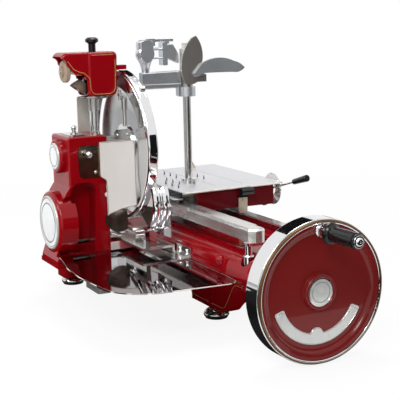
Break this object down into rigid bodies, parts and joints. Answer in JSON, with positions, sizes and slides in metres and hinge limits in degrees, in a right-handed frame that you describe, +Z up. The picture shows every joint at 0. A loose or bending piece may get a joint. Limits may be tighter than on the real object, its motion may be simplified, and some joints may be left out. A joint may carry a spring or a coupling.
{
  "type": "hand crank meat slicer",
  "caption": "Manual flywheel slicer: hand crank turns a guarded round blade by bevel gears and chain while a sliding table with a meat clamp passes it.",
  "frame": {"origin": "under the middle of the whole machine's bounding box, on the plane its feet stand on", "axes": "+Z up, -Y towards the operator and the flywheel, +X towards the product table, -X towards the slice tray"},
  "size_m": [0.6539, 1.1198, 0.6904],
  "materials": {
    "red_paint": "gloss",
    "wheel_red": "gloss",
    "chrome": "polished",
    "polished_steel": "polished",
    "satin_steel": "satin",
    "dark_steel": "polished",
    "gear_steel": "satin",
    "table_metal": "satin",
    "badge_metal": "satin",
    "black_plastic": "gloss",
    "abrasive": "matte",
    "bearing_brass": "satin",
    "grey_support": "satin"
  },
  "bodies": {
    "base": {"base_casting": "red_paint", "base_floor_plate": "gear_steel", "feet": "chrome", "column_casting": "red_paint", "column_fittings": "chrome", "column_badges": "badge_metal", "slice_deflector": "satin_steel", "deflector_plate": "dark_steel", "inner_guard": "dark_steel", "steel_brackets": "polished_steel", "fixed_screws": "chrome", "blade_ring": "chrome", "ring_fittings": "dark_steel", "lower_guard": "chrome", "guard_ledge": "polished_steel", "bearings": "bearing_brass", "drive_chain": "gear_steel", "carriage_chain": "gear_steel", "sprocket_brackets": "gear_steel", "near_rail": "chrome", "rail_posts": "chrome", "far_rail": "red_paint", "far_rail_strip": "chrome", "slice_tray": "chrome", "tray_pad": "grey_support"},
    "flywheel": {"wheel_rim": "chrome", "wheel_disc": "wheel_red", "wheel_badge": "badge_metal", "wheel_plate": "badge_metal", "wheel_shaft": "gear_steel", "crank_pin": "chrome"},
    "crank_grip": {"crank_grip": "black_plastic"},
    "cross_shaft": {"cross_shaft": "gear_steel"},
    "blade": {"blade": "polished_steel", "blade_hub": "polished_steel", "blade_shaft": "gear_steel"},
    "carriage_sprocket": {"carriage_sprocket": "gear_steel"},
    "idler_sprocket": {"idler_sprocket": "gear_steel"},
    "carriage": {"carriage_frame": "polished_steel", "far_shoes": "black_plastic"},
    "near_roller_front": {"near_roller_front": "gear_steel"},
    "near_roller_rear": {"near_roller_rear": "gear_steel"},
    "table": {"table_top": "table_metal", "table_apron": "wheel_red", "table_fittings": "chrome", "clamp_post": "chrome"},
    "feed_lever": {"feed_lever": "chrome", "feed_grip": "black_plastic"},
    "lock_lever": {"lock_lever": "satin_steel"},
    "wing_lever": {"wing_lever": "satin_steel"},
    "clamp_sleeve": {"clamp_sleeve": "polished_steel"},
    "clamp_arm": {"clamp_arm": "chrome"},
    "clamp_handle": {"clamp_handle": "polished_steel"},
    "sharpener": {"sharpener_collar": "chrome", "sharpener_cover": "red_paint", "grinding_carrier": "gear_steel"},
    "sharpener_knob": {"sharpener_knob": "black_plastic"},
    "grinding_wheel": {"grinding_wheel": "abrasive"},
    "cup_wheel": {"cup_wheel": "abrasive"},
    "latch_knob": {"latch_knob": "chrome"}
  },
  "joints": [
    {"name": "flywheel_turn", "type": "hinge", "parent": "base", "child": "flywheel", "pos_m": [0.03408, -0.42605, 0.16], "axis": [0, 1, 0], "continuous": true},
    {"name": "grip_turn", "type": "hinge", "parent": "flywheel", "child": "crank_grip", "pos_m": [0.03408, -0.45605, 0.294], "axis": [0, 1, 0], "continuous": true},
    {"name": "cross_shaft_turn", "type": "hinge", "parent": "base", "child": "cross_shaft", "pos_m": [-0.17592, 0.33495, 0.16], "axis": [1, 0, 0], "continuous": true},
    {"name": "blade_turn", "type": "hinge", "parent": "base", "child": "blade", "pos_m": [-0.06692, 0.33495, 0.405], "axis": [1, 0, 0], "continuous": true},
    {"name": "carriage_sprocket_turn", "type": "hinge", "parent": "base", "child": "carriage_sprocket", "pos_m": [0.10308, -0.02505, 0.16], "axis": [1, 0, 0], "continuous": true},
    {"name": "idler_sprocket_turn", "type": "hinge", "parent": "base", "child": "idler_sprocket", "pos_m": [0.10308, 0.31495, 0.16], "axis": [1, 0, 0], "continuous": true},
    {"name": "carriage_travel", "type": "slide", "parent": "base", "child": "carriage", "axis": [0, 1, 0], "range_m": [-0.3, 0.04]},
    {"name": "front_roller_turn", "type": "hinge", "parent": "carriage", "child": "near_roller_front", "pos_m": [0.02408, 0.21995, 0.266], "axis": [1, 0, 0], "continuous": true},
    {"name": "rear_roller_turn", "type": "hinge", "parent": "carriage", "child": "near_roller_rear", "pos_m": [0.02408, 0.49695, 0.266], "axis": [1, 0, 0], "continuous": true},
    {"name": "table_feed", "type": "slide", "parent": "carriage", "child": "table", "axis": [1, 0, 0], "range_m": [-0.006, 0.12]},
    {"name": "feed_lever_turn", "type": "hinge", "parent": "table", "child": "feed_lever", "pos_m": [0.28108, 0.22195, 0.262], "axis": [1, 0, 0], "range_deg": [0, 40]},
    {"name": "lock_lever_turn", "type": "hinge", "parent": "table", "child": "lock_lever", "pos_m": [0.18208, 0.16495, 0.243], "axis": [0, 1, 0], "range_deg": [0, 50]},
    {"name": "wing_lever_turn", "type": "hinge", "parent": "table", "child": "wing_lever", "pos_m": [0.22308, 0.52995, 0.29], "axis": [0, 0, 1], "range_deg": [0, 90]},
    {"name": "clamp_slide", "type": "slide", "parent": "table", "child": "clamp_sleeve", "axis": [0, 0, 1], "range_m": [-0.2, 0]},
    {"name": "clamp_arm_turn", "type": "hinge", "parent": "clamp_sleeve", "child": "clamp_arm", "pos_m": [0.08908, 0.29295, 0.553], "axis": [0, 0, 1], "range_deg": [-80, 0]},
    {"name": "clamp_handle_turn", "type": "hinge", "parent": "clamp_sleeve", "child": "clamp_handle", "pos_m": [0.10908, 0.26595, 0.596], "axis": [0, -1, 0], "range_deg": [0, 45]},
    {"name": "sharpener_swing", "type": "hinge", "parent": "base", "child": "sharpener", "pos_m": [-0.16892, 0.31495, 0.541], "axis": [0, 0, 1], "range_deg": [0, 60]},
    {"name": "sharpener_push", "type": "slide", "parent": "sharpener", "child": "sharpener_knob", "axis": [0, 0, 1], "range_m": [-0.01, 0], "stiffness_N_per_m": 800},
    {"name": "grinding_wheel_turn", "type": "hinge", "parent": "sharpener", "child": "grinding_wheel", "pos_m": [-0.24592, 0.31995, 0.606], "axis": [1, 0, 0], "continuous": true},
    {"name": "cup_wheel_turn", "type": "hinge", "parent": "sharpener", "child": "cup_wheel", "pos_m": [-0.20992, 0.31995, 0.558], "axis": [0.5524, 0, 0.8336], "continuous": true},
    {"name": "latch_pull", "type": "slide", "parent": "base", "child": "latch_knob", "axis": [0, 1, 0], "range_m": [-0.008, 0], "stiffness_N_per_m": 500}
  ],
  "couplings": [
    {"joint": "cross_shaft_turn", "follows": "flywheel_turn", "ratio": -1.5714},
    {"joint": "blade_turn", "follows": "flywheel_turn", "ratio": -2.6593},
    {"joint": "carriage_sprocket_turn", "follows": "flywheel_turn", "ratio": 1.5714},
    {"joint": "idler_sprocket_turn", "follows": "flywheel_turn", "ratio": 1.5714},
    {"joint": "front_roller_turn", "follows": "carriage_travel", "rad_per_m": -84.034},
    {"joint": "rear_roller_turn", "follows": "carriage_travel", "rad_per_m": -84.034}
  ]
}
